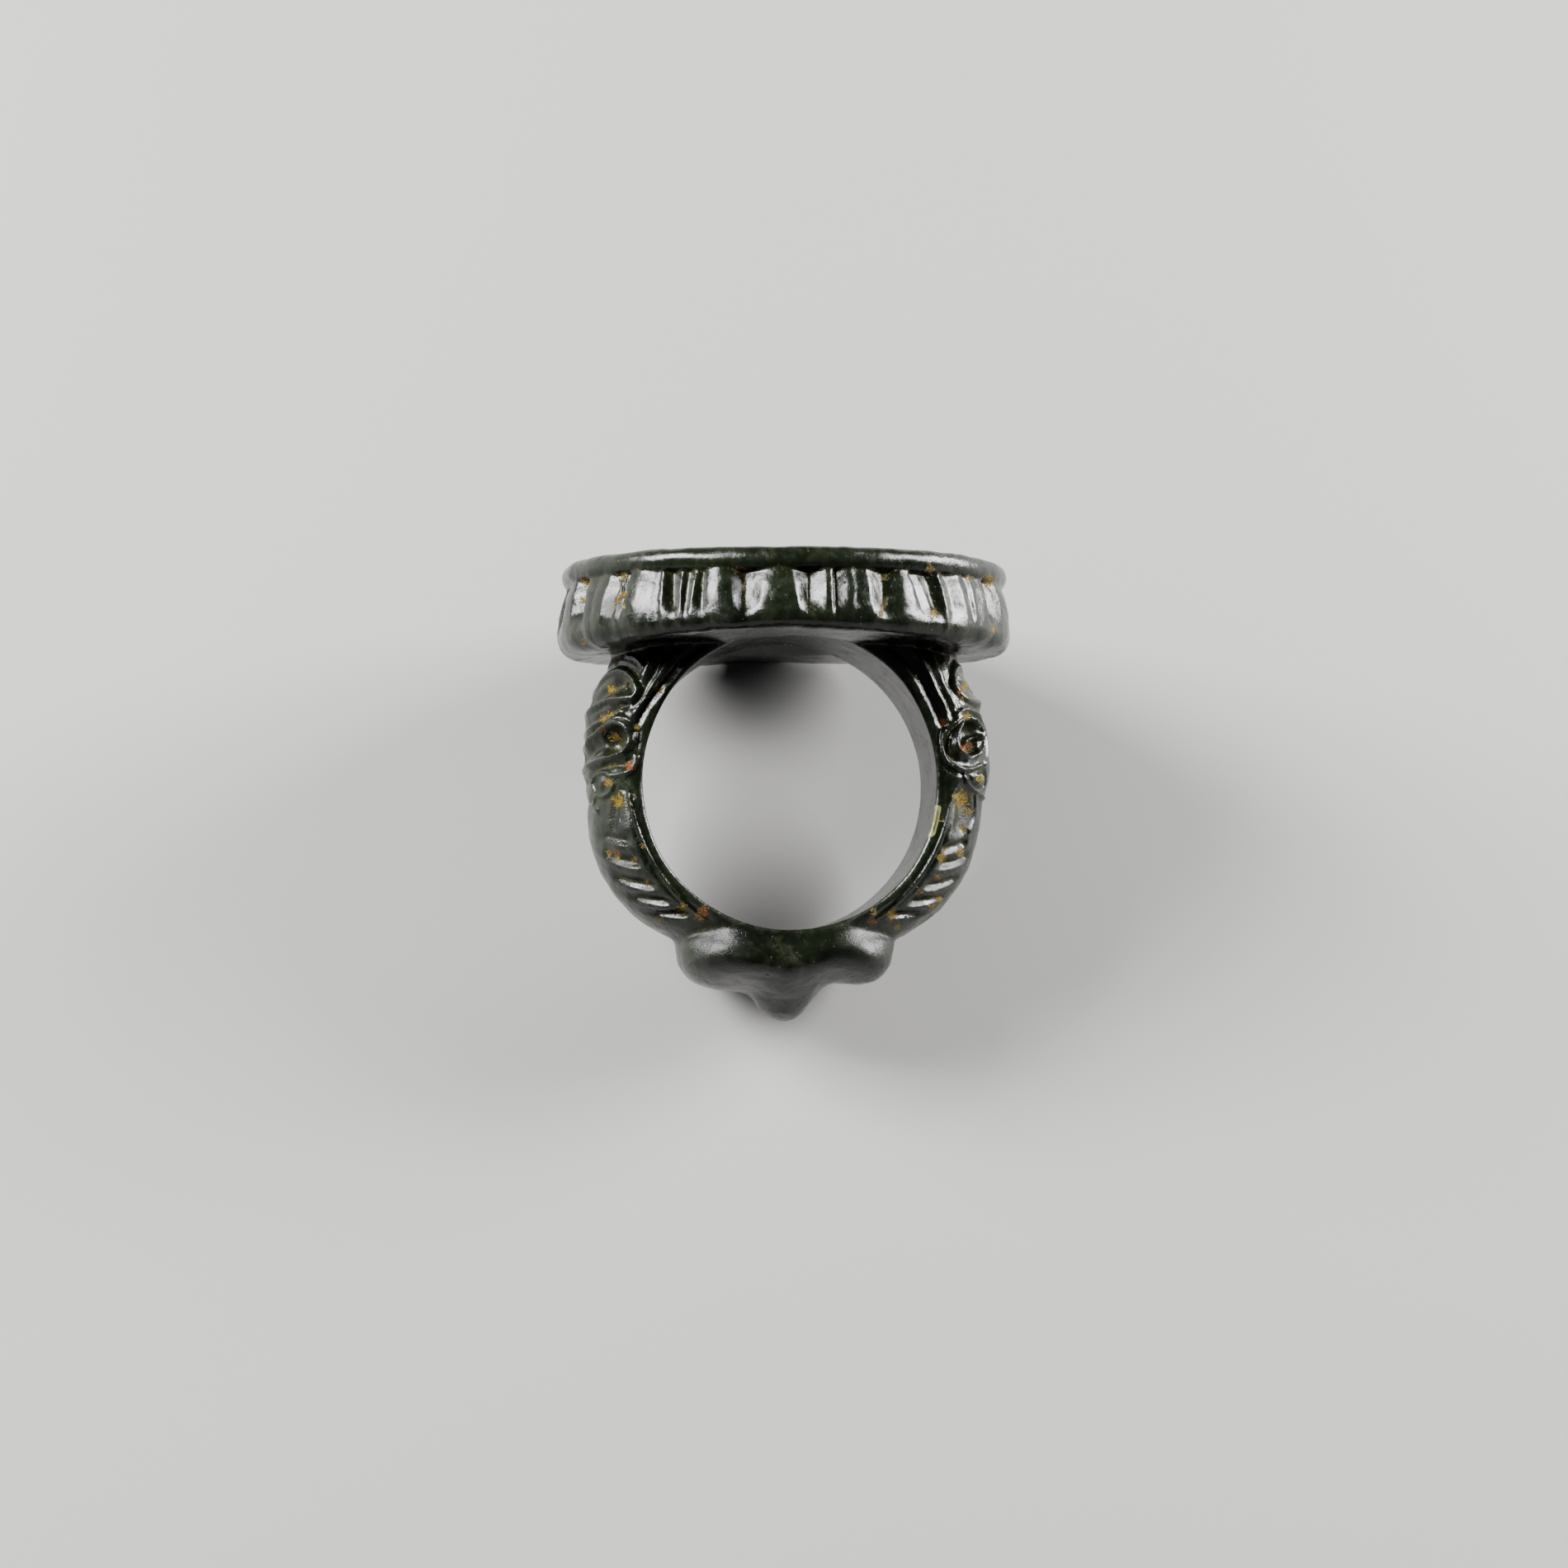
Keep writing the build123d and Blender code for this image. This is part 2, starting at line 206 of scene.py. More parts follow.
rightSide = (
    # strands
    ("vee", 0.36, -0.30, (58, 0.95), (46.4, 0.975), (38.3, 1.0), (32.1, 1.02), (25.5, 1.03),
     (20.8, 1.04), (17.9, 1.0)),
    ("vee", 0.32, -0.25, (52, 0.83), (42.3, 0.87), (36.1, 0.905), (31.1, 0.92), (26.3, 0.925),
     (20.6, 0.93)),
    ("vee", 0.46, -0.28, (48, 0.68), (39.8, 0.73), (33.5, 0.76)),
    ("vee", 0.20, -0.18, (34.5, 0.75), (29.3, 0.82), (23.0, 0.84)),
    ("round", 0.34, 0.12, (44, 0.93), (34, 0.965), (24, 0.98)),
    ("round", 0.30, 0.12, (42, 0.79), (33, 0.85), (25, 0.885)),
    # upper scroll, worn flatter
    ("round", 0.36, 0.24, (31.0, 0.0), (33.4, 0.28), (34.0, 0.50), (32.6, 0.64), (30.0, 0.72), (27.2, 0.72),
     (24.6, 0.64), (23.2, 0.46), (22.4, 0.2), (22.2, 0.0)),
    ("round", 0.48, -0.30, (30.8, 0.54), (29.0, 0.50), (27.2, 0.36), (26.4, 0.14)),
    ("vee", 0.20, -0.14, (36.4, 0.40), (35.4, 0.60), (31.6, 0.76), (27.4, 0.80), (24.0, 0.76)),
    ("vee", 0.24, -0.16, (22.4, 0.66), (20.8, 0.40), (20.2, 0.1)),
    # great scroll: outer crescent, inner ring, eye and the tongue in it
    ("round", 0.20, 0.22, (20.4, 0.84), (19.6, 0.92), (18.2, 1.0), (16.4, 1.07), (13.6, 1.10), (10.8, 1.11),
     (7.6, 1.09), (5.2, 1.03), (3.9, 0.94), (3.8, 0.82), (5.0, 0.66)),
    ("vee", 0.20, -0.16, (20.6, 1.0), (18.4, 1.08), (14.4, 1.14), (10.2, 1.15), (6.0, 1.12), (3.0, 1.02),
     (2.2, 0.94), (1.8, 0.88)),
    ("round", 0.50, -0.20, (18.0, 0.95), (13.0, 1.04), (8.0, 1.02), (6.0, 0.92)),
    ("round", 0.24, 0.32, (17.6, 0.60), (18.8, 0.70), (18.8, 0.82), (17.0, 0.92), (13.6, 0.98), (10.4, 0.97),
     (8.6, 0.89), (8.1, 0.77), (9.4, 0.62), (12.2, 0.54), (15.4, 0.54), (17.6, 0.60)),
    ("pit", 0.92, -0.80, (15.2, 0.76), (13.6, 0.78), (11.8, 0.80)),
    ("round", 0.26, 0.42, (13.2, 0.58), (13.5, 0.64), (13.2, 0.71), (12.4, 0.75)),
    ("round", 0.26, 0.18, (21.2, 0.90), (22.2, 0.80), (21.6, 0.64), (19.4, 0.46), (15.4, 0.36),
     (10.8, 0.36), (7.0, 0.42), (5.4, 0.52)),
    ("vee", 0.20, -0.16, (20.6, 0.80), (20.2, 0.66), (17.8, 0.52), (13.4, 0.46), (9.4, 0.48)),
    # bead and the line round it
    ("round", 0.20, 0.20, (3.4, 0.93), (1.2, 0.91), (-1.0, 0.86), (-2.8, 0.70), (-3.8, 0.50), (-4.4, 0.30)),
    ("round", 0.46, 0.30, (1.4, 0.66), (0.9, 0.64)),
    ("vee", 0.22, -0.22, (3.0, 0.74), (3.4, 0.56), (1.6, 0.44), (-0.7, 0.42), (-2.0, 0.58), (-0.8, 0.76),
     (2.2, 0.82), (3.0, 0.74)),
    # sunk flat at the leaf's tip, with a raised edge on the crest side, and the hollow under it
    ("round", 1.05, -0.30, (-7.0, 0.86), (-10.5, 0.84), (-14.5, 0.84)),
    ("round", 0.24, 0.16, (-4.6, 0.66), (-10.0, 0.62), (-15.5, 0.68)),
    ("round", 0.52, -0.30, (-24.0, 0.93), (-21.8, 0.84), (-19.4, 0.70)),
)
strokeForm = {
    "notchWall": 0.32,  # its steep side, as a share of its width
    "notchEnd": 0.7, "notchTip": 0.15,  # mm of taper, and the share of its depth left at the tip
    "notchFade": 0.45,  # share of its depth lost towards the crest
    "veeEnd": 2.5, "veeTip": 0.35,  # taper in widths, and the share of its depth left at the tip
    "pitFlat": 2.6,  # how square its floor is
    "crossing": 0.25,  # share of the lower of two strokes that shows where they cross
}


def wayOf(share):  # mm round the crown from the crest
    inner = min(share, 1.0)
    onCrown = band["crown"] * math.asin(inner * band["width"] / 2 / band["crown"])
    return onCrown + max(share - 1, 0) * chart["rimShare"]


def strokeShape(kind, width, away, along, below, total):  # 1 at its middle, 0 at its sides
    toEnd = np.minimum(along, 1 - along) * total
    if kind == "notch":  # leans: a long slope from above, and a short steep wall below
        tip = strokeForm["notchTip"]
        ends = np.clip(toEnd / strokeForm["notchEnd"], 0, 1)
        sides = np.where(below, 1 - away / (strokeForm["notchWall"] * width), 1 - away / width)
        return np.clip(sides, 0, 1) * (tip + (1 - tip) * ends) * (1 - strokeForm["notchFade"] * along)
    if kind == "vee":
        tip = strokeForm["veeTip"]
        taper = np.clip(toEnd / (strokeForm["veeEnd"] * width), 0, 1) ** 0.5
        return np.clip(1 - away / width, 0, 1) * (tip + (1 - tip) * taper)
    if kind == "pit":
        return np.clip(1 - (away / width) ** strokeForm["pitFlat"], 0, 1)
    return 0.5 + 0.5 * np.cos(math.pi * np.clip(away / width, 0, 1))


def drawRelief(strokes):
    rows = int((chart["highAngle"] - chart["lowAngle"]) / chart["angle"]) + 1
    angles = chart["lowAngle"] + np.arange(rows) * chart["angle"]
    ways = np.arange(chart["ways"]) * chart["way"]
    high = np.zeros((rows, len(ways)), np.float32)
    low = np.zeros_like(high)
    for kind, width, height, *stops in strokes:
        path = throughPlaces([(a * turn, wayOf(share)) for a, share in stops])
        r0 = np.searchsorted(angles * turn, path[:, 0].min() - width)
        r1 = np.searchsorted(angles * turn, path[:, 0].max() + width)
        gu, gv = np.meshgrid(angles[r0:r1] * turn, ways, indexing="ij")
        away = np.full(gu.shape, 9.0)  # from the stroke's line: farther than any stroke is wide
        along = np.zeros(gu.shape)
        below = np.zeros(gu.shape, bool)
        walked = 0.0
        total = np.linalg.norm(np.diff(path, axis=0), axis=1).sum() + 1e-6
        for a, b in zip(path, path[1:]):
            ab = b - a
            n = ab @ ab + 1e-12
            t = np.clip(((gu - a[0]) * ab[0] + (gv - a[1]) * ab[1]) / n, 0, 1)
            d = np.hypot(gu - a[0] - t * ab[0], gv - a[1] - t * ab[1])
            nearer = d < away
            away[nearer] = d[nearer]
            along[nearer] = ((walked + t * math.sqrt(n)) / total)[nearer]
            below[nearer] = (ab[0] * (gv - a[1]) - ab[1] * (gu - a[0]) < 0)[nearer]
            walked += math.sqrt(n)
        part = (strokeShape(kind, width, away, along, below, total) * abs(height)).astype(np.float32)
        target = high if height > 0 else low
        there = target[r0:r1]
        target[r0:r1] = np.maximum(there, part) + strokeForm["crossing"] * np.minimum(there, part)
    return high - low


relief = np.stack([drawRelief(leftSide + bothSides), drawRelief(rightSide + bothSides)])


def bandPlace(x, y, z):  # where a point lies on the chart, and on the band's section
    radius = np.hypot(x, z)
    angle = np.degrees(np.arctan2(z, np.abs(x)))
    crestLeft = readOff(band["left"], angle).astype(np.float32)
    crestRight = readOff(band["right"], angle).astype(np.float32)
    centre = np.where(x < 0, crestLeft, crestRight) - band["crown"]
    slope = np.arctan2(np.abs(y), np.maximum(radius - band["centre"], 0.01))
    rim = band["centre"] + math.sqrt(band["crown"] ** 2 - (band["width"] / 2) ** 2)
    way = np.where(radius > rim, np.minimum(band["crown"] * slope, rimWay), rimWay + (rim - radius))
    return angle, way, radius, centre


def reliefAt(angle, way, left):
    i = np.clip((angle - chart["lowAngle"]) / chart["angle"], 0, relief.shape[1] - 1.01)
    j = np.clip(way / chart["way"], 0, relief.shape[2] - 1.01)
    i0, j0 = i.astype(int), j.astype(int)
    fi, fj = i - i0, j - j0
    s = np.where(left, 0, 1)
    return ((1 - fi) * (1 - fj) * relief[s, i0, j0] + fi * (1 - fj) * relief[s, i0 + 1, j0]
            + (1 - fi) * fj * relief[s, i0, j0 + 1] + fi * fj * relief[s, i0 + 1, j0 + 1])


_, yCut = axisOf(1, -6.4, 6.4)
_, zCut = axisOf(2, -13.2, 9.6)
x, y, z = np.meshgrid(xs, ys[yCut], zs[zCut], indexing="ij", sparse=True)
angle, way, radius, centre = bandPlace(x, y, z)
crown = np.hypot(radius - centre, y) - band["crown"]
stone = meet(crown, np.abs(y) - band["width"] / 2, band["edge"])
near = np.abs(stone) < band["carvedWithin"]
angle, radiusNear, xNear = (np.broadcast_to(a, near.shape)[near] for a in (angle, radius, x))
height = reliefAt(angle, way[near], xNear < 0)
height *= band["crestWear"] + (1 - band["crestWear"]) * smoothStep(way[near], 0.0, band["wearReach"])
height = height * smoothStep(radiusNear, *band["plainBy"])
stone[near] -= height
field[:, yCut, zCut] = np.maximum(stone, band["empty"] - radius)
del crown, stone, near, way
print("band carved")

knop = {
    # the two halves of its outline from the front, out from the middle and up from the bore's centre
    "left": ((6.0, -8.7), (6.5, -9.3), (6.62, -9.9), (6.55, -10.5), (6.42, -11.1), (6.05, -11.65),
             (5.5, -12.1), (4.7, -12.45), (3.8, -12.62), (2.9, -12.7), (2.35, -12.8), (1.95, -13.1),
             (1.65, -13.5), (1.25, -13.95), (0.7, -14.33), (0.0, -14.5)),
    "right": ((6.0, -8.7), (6.5, -9.3), (6.62, -9.9), (6.55, -10.5), (6.4, -11.1), (6.05, -11.65),
              (5.5, -12.06), (4.7, -12.26), (3.8, -12.2), (2.9, -12.18), (2.3, -12.45), (1.9, -12.9),
              (1.55, -13.4), (1.15, -13.9), (0.65, -14.3), (0.0, -14.5)),
    "top": -5.0, "topHalf": 4.6,  # it reaches this far up and across, inside the band
    # half its depth, from the drop's tip up to the band
    "depth": ((-14.6, 2.5), (-13.6, 3.4), (-12.8, 4.4), (-12.0, 5.58), (-11.4, 6.11), (-10.9, 6.14),
              (-10.2, 5.9), (-9.6, 5.62), (-9.0, 5.36), (-8.4, 5.1), (-7.6, 4.7), (-5.0, 3.6)),
    "rounding": 3.7, "square": 2.2,  # how far in from its outline it is rounded, and how squarely
    "hollow": 0.26, "hollowWide": 2.0,  # between its two shoulders
    "eased": 0.6, "easedFrom": (-0.3, -1.3),  # mm that inner creases are spread over, from this far in
    "fillet": 0.34,  # where it meets the band
}
_, zCut = axisOf(2, -15.2, knop["top"])
_, yCut = axisOf(1, -6.6, 6.6)
outline = [(-px, pz) for px, pz in knop["left"]] + [p for p in reversed(knop["right"][:-1])]
outline = [tuple(p) for p in throughPlaces(outline, 4)]
outline += [(knop["topHalf"], knop["top"]), (-knop["topHalf"], knop["top"])]
gx, gz = np.meshgrid(xs, zs[zCut], indexing="ij")
distance = np.full(gx.shape, np.inf)  # to the outline
inside = np.zeros(gx.shape, bool)
for (ax, az), (bx, bz) in zip(outline, outline[1:] + outline[:1]):
    n = (bx - ax) ** 2 + (bz - az) ** 2
    t = np.clip(((gx - ax) * (bx - ax) + (gz - az) * (bz - az)) / n, 0, 1)
    distance = np.minimum(distance, np.hypot(gx - ax - t * (bx - ax), gz - az - t * (bz - az)))
    crosses = (az > gz) != (bz > gz)
    inside ^= crosses & (gx < ax + (gz - az) * (bx - ax) / (bz - az if bz != az else 1e-9))
flat = np.where(inside, -distance, distance)
eased = flat.copy()
for _ in range(int((knop["eased"] / block["step"]) ** 2)):
    eased[1:-1] = (eased[:-2] + 2 * eased[1:-1] + eased[2:]) / 4
    eased[:, 1:-1] = (eased[:, :-2] + 2 * eased[:, 1:-1] + eased[:, 2:]) / 4
flat += (eased - flat) * smoothStep(flat, *knop["easedFrom"])
depth = np.interp(gz, *throughPlaces(knop["depth"]).T)
depth = depth - knop["hollow"] * np.exp(-(gx / knop["hollowWide"]) ** 2)
inward = np.maximum(1 + flat / knop["rounding"], 0)[:, None, :]
deep = np.abs(ys[yCut])[None, :, None] / depth[:, None, :]
stone = ((inward ** knop["square"] + deep ** knop["square"]) ** (1 / knop["square"]) - 1) * knop["rounding"]
field[:, yCut, zCut] = join(field[:, yCut, zCut], stone.astype(np.float32), knop["fillet"])
print("knop carved")

bezel = {
    "table": 12.9,  # flat top, above the bore's centre
    "lipAxis": 12.92, "lipHeight": 12.53, "lipBead": 0.70,  # the beaded edge
    "wall": ((6.5, 12.4), (7.3, 13.1), (7.8, 13.48), (8.3, 13.76), (8.8, 13.9), (9.4, 13.93), (10.2, 13.85),
             (11.1, 13.66), (11.7, 13.42), (12.1, 13.3), (12.6, 13.2), (13.5, 13.1)),
    "shoulder": 12.25,  # where the wall stops under the lip
    "under": 7.55, "arch": 0.85, "archReach": 12.6,  # underside, raised over the finger
    "rightRise": 0.38, "rightFrom": (9.5, 13),  # and at its right end
    "foot": 1.1,  # rounding into the underside
    "backSwell": 0.2, "backFrom": (145, 174),  # mm and degrees: it rests on its back
    "neck": 0.32, "lipJoin": 0.10, "topEdge": 0.12,  # rounding at the band, the lip and the table
    "tableDeep": 0.4,  # how far the table reaches down inside the wall
    "wander": 0.05, "underWander": 0.07,  # mm off true
    # heights of the cuts' top and foot, where they have run out and are full, and what is left of them
    "runOut": {"top": 11.4, "foot": 9.3, "out": 8.85, "full": 10.2, "left": 0.13},
    # the gadroons that the photograph hides: degrees round, then shares of one gadroon
    "unseen": {"from": 87.0, "to": 273.0, "gadroons": 11, "depth": 0.58, "lean": 1.2, "uneven": 0.08,
               "valley": (0.62, 0.74), "swell": (0.08, 0.16), "deeper": (0.8, 1.15), "seed": 7},
    # Edges of the cuts between the gadroons, in degrees round from the front: at the top, at the
    # foot, how deep the stone is cut there, and how much it swells on the way to the next edge.
    "edges": (
        (-81.0, -79.5, 0.14, 0.04), (-72.4, -72.0, 0.00, -0.02), (-67.2, -66.2, 0.80, 0.00),
        (-65.8, -64.6, 0.14, 0.06), (-60.5, -61.0, 0.10, 0.05), (-54.9, -56.2, 0.00, -0.06),
        (-50.8, -51.8, 0.36, 0.00), (-49.9, -50.8, 0.06, 0.00), (-48.4, -49.1, 0.34, 0.00),
        (-47.2, -47.2, 0.00, 0.10), (-40.5, -41.2, 0.02, 0.00), (-39.3, -39.6, 0.06, -0.10),
        (-36.6, -35.9, 0.02, 0.00), (-34.4, -33.0, 0.52, 0.00), (-31.3, -30.9, 0.06, -0.03),
        (-29.5, -29.8, 0.34, 0.00), (-27.5, -28.2, 0.00, 0.00), (-25.7, -25.4, 0.34, 0.00),
        (-24.2, -23.9, 0.02, 0.16), (-18.4, -17.1, 0.00, 0.00), (-15.1, -14.7, 0.66, -0.04),
        (-9.6, -10.7, 0.00, 0.10), (-2.5, -1.1, 0.00, -0.02), (1.6, 1.3, 0.70, -0.03),
        (5.5, 5.3, 0.00, 0.02), (7.2, 7.0, 0.02, 0.00), (7.9, 7.7, 0.44, 0.00),
        (11.0, 10.8, 0.00, 0.05), (13.1, 12.8, 0.02, 0.00), (16.3, 17.1, -0.02, 0.00),
        (21.0, 20.4, 0.56, -0.04), (25.0, 24.7, 0.00, 0.06), (28.6, 29.2, 0.02, 0.00),
        (29.3, 31.8, 0.32, 0.00), (31.9, 35.2, 0.36, 0.00), (35.0, 36.8, 0.60, -0.03),
        (38.1, 39.1, 0.00, -0.06), (41.4, 42.4, 0.30, 0.00), (45.3, 46.3, 0.03, 0.00),
        (48.6, 49.2, 0.20, 0.00), (49.9, 50.3, 0.02, 0.00), (51.6, 51.4, 0.13, 0.00),
        (56.6, 56.0, 0.04, 0.02), (59.4, 60.4, 0.54, -0.03), (65.6, 66.6, 0.00, 0.05),
        (78.0, 76.0, 0.08, 0.00), (82.0, 80.5, 0.46, 0.00),
    ),
}


def allEdges():
    unseen = bezel["unseen"]
    rng = np.random.default_rng(unseen["seed"])
    edges = list(bezel["edges"])
    pitch = (unseen["to"] - unseen["from"]) / unseen["gadroons"]
    for k in range(unseen["gadroons"]):
        start = unseen["from"] + (k + rng.uniform(-unseen["uneven"], unseen["uneven"])) * pitch
        lean = rng.uniform(-unseen["lean"], unseen["lean"])
        valley = start + pitch * rng.uniform(*unseen["valley"])
        edges.append((start, start + lean, 0.0, rng.uniform(*unseen["swell"])))
        edges.append((start + pitch * 0.46, start + pitch * 0.47 + lean, 0.02, -0.03))
        edges.append((valley, valley + lean * 0.3, unseen["depth"] * rng.uniform(*unseen["deeper"]), -0.03))
    return sorted(((top + 180) % 360 - 180, foot - top, depth, swell) for top, foot, depth, swell in edges)


# the bezel's wall is drawn flat too: rows by tenth of a degree, columns by height
def drawGadroons(heights):
    run = bezel["runOut"]
    azimuths = np.arange(3600) / 10 - 180
    edges = np.array(allEdges())
    cut = np.zeros((3600, len(heights)), np.float32)
    for column, h in enumerate(heights):
        lean = np.clip((run["top"] - h) / (run["top"] - run["foot"]), -0.4, 1.6)  # 0 at top, 1 at foot
        at = edges[:, 0] + edges[:, 1] * lean
        at = np.concatenate([at - 360, at, at + 360])
        deep, swell = np.tile(edges[:, 2], 3), np.tile(edges[:, 3], 3)
        k = np.searchsorted(at, azimuths, side="right") - 1
        t = (azimuths - at[k]) / (at[k + 1] - at[k])
        depth = deep[k] + (deep[k + 1] - deep[k]) * t
        share = run["left"] + (1 - run["left"]) * smoothStep(h, run["out"], run["full"])
        cut[:, column] = swell[k] * 4 * t * (1 - t) * (0.5 + 0.5 * share) - depth * share
    return cut


_, zCut = axisOf(2, 6.6, 13.7)
x, y, z = np.meshgrid(xs, ys, zs[zCut], indexing="ij", sparse=True)
radius = np.hypot(x, y)
around = np.degrees(np.arctan2(x, -y))
heights = zs[zCut]
gadroons = drawGadroons(heights)
row = (np.round((around + 180) * 10).astype(int) % 3600)[:, :, 0]
wall = readOff(bezel["wall"], heights).astype(np.float32)
drift = bezel["wander"] * waves(x, y, 0, length=9.0, seed=3)
side = radius - (wall[None, None, :] + gadroons[row]) + drift
side = side - bezel["backSwell"] * smoothStep(np.abs(around), *bezel["backFrom"])
under = bezel["under"] + bezel["arch"] * (1 - (x / bezel["archReach"]) ** 2)
under = under + bezel["underWander"] * waves(x, y, 0, length=7.0, seed=4)
under += bezel["rightRise"] * smoothStep(x, *bezel["rightFrom"])
stone = meet(meet(side, under - z, bezel["foot"]), z - bezel["shoulder"], bezel["topEdge"])
lip = np.hypot(radius - bezel["lipAxis"] + 0.6 * drift, z - bezel["lipHeight"] + 0.7 * drift)
lip = lip - bezel["lipBead"] * (1 + 0.5 * drift)
table = np.maximum(radius - bezel["lipAxis"], z - bezel["table"])
table = np.maximum(table, bezel["shoulder"] - bezel["tableDeep"] - z)
stone = join(join(stone, lip, bezel["lipJoin"]), table, bezel["topEdge"])
field[:, :, zCut] = join(field[:, :, zCut], stone, bezel["neck"])
del stone, side, lip, table
print("bezel carved")

hole = {
    "narrows": 0.75, "narrowBy": (5.0, 7.6), "narrowUp": (2, 6),  # under the bezel, outside the band
    "wander": 0.012,
    "lean": 0.17, "leanRight": 0.008, "leanBy": (3.4, 5.2),  # the front edge comes in, more on the right
    "leanTop": (7, 3), "leanFoot": (-5.5, -0.5),  # and only at mid height
    "edge": 0.26,  # rounding
}
_, yCut = axisOf(1, -8.6, 8.6)
_, zCut = axisOf(2, -9.6, 9.6)
x, y, z = np.meshgrid(xs, ys[yCut], zs[zCut], indexing="ij", sparse=True)
narrower = hole["narrows"] * smoothStep(np.abs(y), *hole["narrowBy"]) * smoothStep(z, *hole["narrowUp"])
reach = band["bore"] - narrower + hole["wander"] * waves(x, y, z, length=6.0, seed=5, count=6)
lean = (hole["lean"] + hole["leanRight"] * x) * smoothStep(z, *hole["leanTop"])
reach = reach - lean * smoothStep(z, *hole["leanFoot"]) * smoothStep(-y, *hole["leanBy"])
field[:, yCut, zCut] = meet(field[:, yCut, zCut], reach - np.hypot(x, z), hole["edge"])
print("hole cut")

# skin of the block
grid = openvdb.FloatGrid(block["skin"])
grid.copyFromArray(np.clip(field, -block["skin"], block["skin"]), tolerance=0.001)
points, quads = grid.convertToQuads(0.0)
points = points.astype(np.float64) * block["step"] + np.array(block["low"])
del field, grid
print("skin", len(points), "points")

mesh = bpy.data.meshes.new("ring")
mesh.vertices.add(len(points))
mesh.vertices.foreach_set("co", points.ravel())
mesh.loops.add(len(quads) * 4)
mesh.loops.foreach_set("vertex_index", quads.ravel().astype(np.int32))
mesh.polygons.add(len(quads))
mesh.polygons.foreach_set("loop_start", np.arange(len(quads)) * 4)
mesh.update(calc_edges=True)
mesh.validate()
ring = bpy.data.objects.new("jade_ring", mesh)
bpy.context.collection.objects.link(ring)


def applied(obj, name, kind, **settings):
    mod = obj.modifiers.new(name, kind)
    for key, value in settings.items():
        setattr(mod, key, value)
    done = bpy.data.meshes.new_from_object(obj.evaluated_get(bpy.context.evaluated_depsgraph_get()))
    obj.modifiers.clear()
    old, obj.data = obj.data, done
    bpy.data.meshes.remove(old)


def pointsOf(data):
    out = np.empty(len(data.vertices) * 3, np.float32)
    data.vertices.foreach_get("co", out)
    return out.reshape(-1, 3).astype(np.float64)


def normalsOf(data):
    out = np.empty(len(data.vertices) * 3, np.float32)
    data.vertex_normals.foreach_get("vector", out)
    return out.reshape(-1, 3).astype(np.float64)


def spread(data, values, rounds):  # average with the neighbours, again and again
    pairs = np.empty(len(data.edges) * 2, np.int32)
    data.edges.foreach_get("vertices", pairs)
    a, b = pairs.reshape(-1, 2).T
    count = np.bincount(a, minlength=len(values)) + np.bincount(b, minlength=len(values)) + 1.0
    for _ in range(rounds):
        total = values.copy()
        for c, column in enumerate(values.T):
            total[:, c] += np.bincount(a, column[b], len(column)) + np.bincount(b, column[a], len(column))
        values = total / count[:, None]
    return values


def inHoleOf(p):  # 1 on the wall of the hole
    return smoothStep(-np.hypot(p[:, 0], p[:, 2]), -9.3, -9.05) * (np.abs(p[:, 1]) < 8)


# handwork: the surface wanders, and the cuts are a little ragged
hand = {
    "wander": 0.022, "ragged": 0.012, "grain": 0.005,  # mm
    "holeCalm": 0.85, "tableCalm": 0.8,  # share left out in the polished hole and on the table
}
applied(ring, "settle", "SMOOTH", factor=0.5, iterations=1)
p, n = pointsOf(ring.data), normalsOf(ring.data)
shift = hand["wander"] * waves(*p.T, length=2.6, seed=11)
shift = shift + hand["ragged"] * waves(*p.T, length=0.9, seed=12, count=20)
shift = shift + hand["grain"] * waves(*p.T, length=0.45, seed=13, count=24)
shift = shift * (1 - hand["holeCalm"] * inHoleOf(p))
onTable = smoothStep(p[:, 2], 12.75, 12.85) * smoothStep(np.hypot(p[:, 0], p[:, 1]), 12.4, 11.8)
shift *= 1 - hand["tableCalm"] * onTable
ring.data.vertices.foreach_set("co", (p + n * shift[:, None]).ravel())
keep = min(1.0, block["triangles"] / (2 * len(ring.data.polygons)))
applied(ring, "thin", "DECIMATE", ratio=keep, use_collapse_triangulate=True)
print("thinned to", len(ring.data.polygons), "triangles")

# The camera stands where the photograph's stood. What lies on the stone is charted from there too.
view = {
    "left": 4.9, "below": 3.05, "away": 262.0,  # degrees, degrees, mm from the bore's centre
    "lens": 98.4, "sensor": 36, "photoWide": 1900,  # mm, mm, pixels
    "seenScale": 20.3,  # pixels of the photograph to a millimetre at the front rim
}
a, e = math.radians(view["left"]), math.radians(view["below"])
ahead = Vector((math.sin(a) * math.cos(e), math.cos(a) * math.cos(e), math.sin(e)))
across = Vector((math.cos(a), -math.sin(a), 0))
up = across.cross(ahead)

